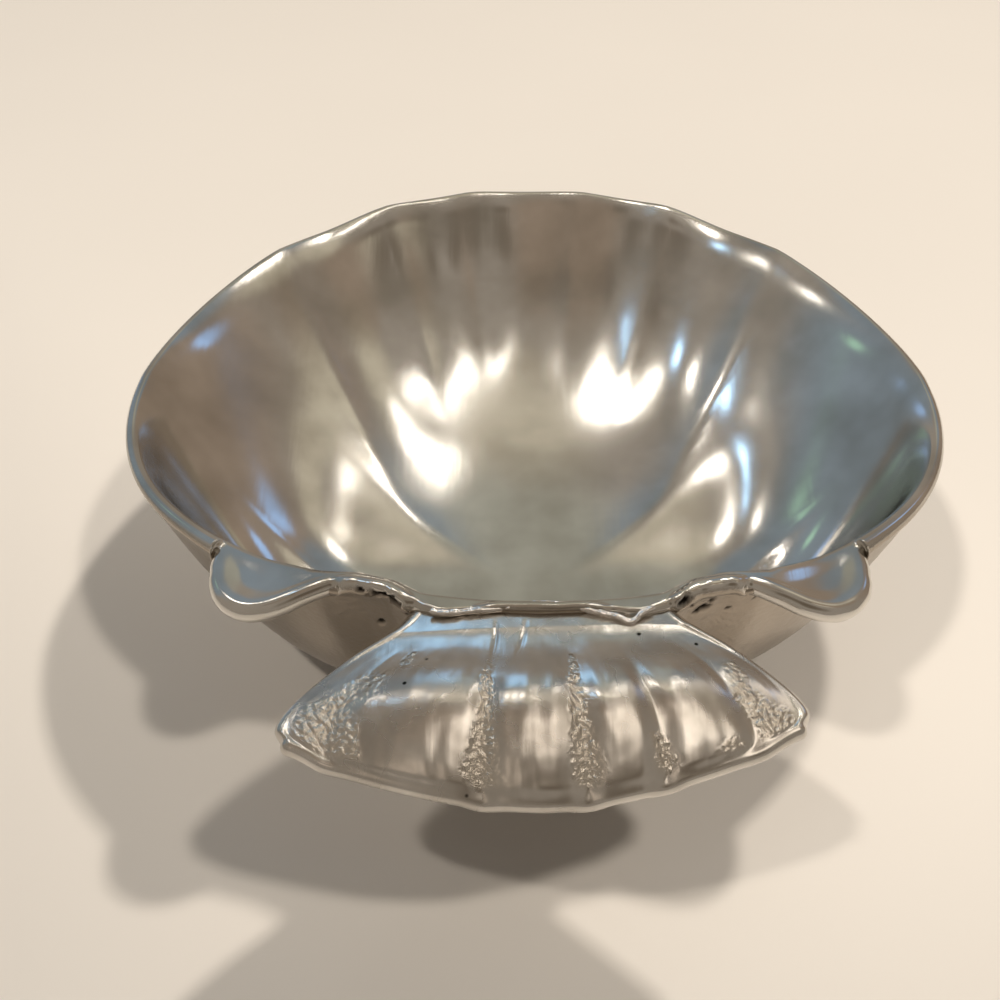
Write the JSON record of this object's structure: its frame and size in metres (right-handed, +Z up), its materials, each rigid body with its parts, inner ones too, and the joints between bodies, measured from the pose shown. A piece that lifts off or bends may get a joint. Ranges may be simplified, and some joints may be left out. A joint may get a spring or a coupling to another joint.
{
  "type": "footed shell dish",
  "caption": "Fluted scallop-shell dish in polished cast metal, with flared ears, a domed fan thumb piece at the hinge and small feet underneath.",
  "frame": {"origin": "on the table under the middle of the dish's overall box", "axes": "+Z up, +Y from the fan at the hinge edge towards the far rim of the bowl, +X to the right"},
  "size_m": [0.158, 0.1776, 0.0517],
  "materials": {
    "bowl_metal": "polished sand casting",
    "fan_metal": "ribs polished, grooves as cast",
    "braze_metal": "braze bead, buffed",
    "foot_metal": "turned and buffed"
  },
  "bodies": {
    "root": {"bowl": "bowl_metal", "fan": "fan_metal", "hinge_braze": "braze_metal", "foot_front": "foot_metal", "foot_left": "foot_metal", "foot_right": "foot_metal"}
  },
  "joints": []
}
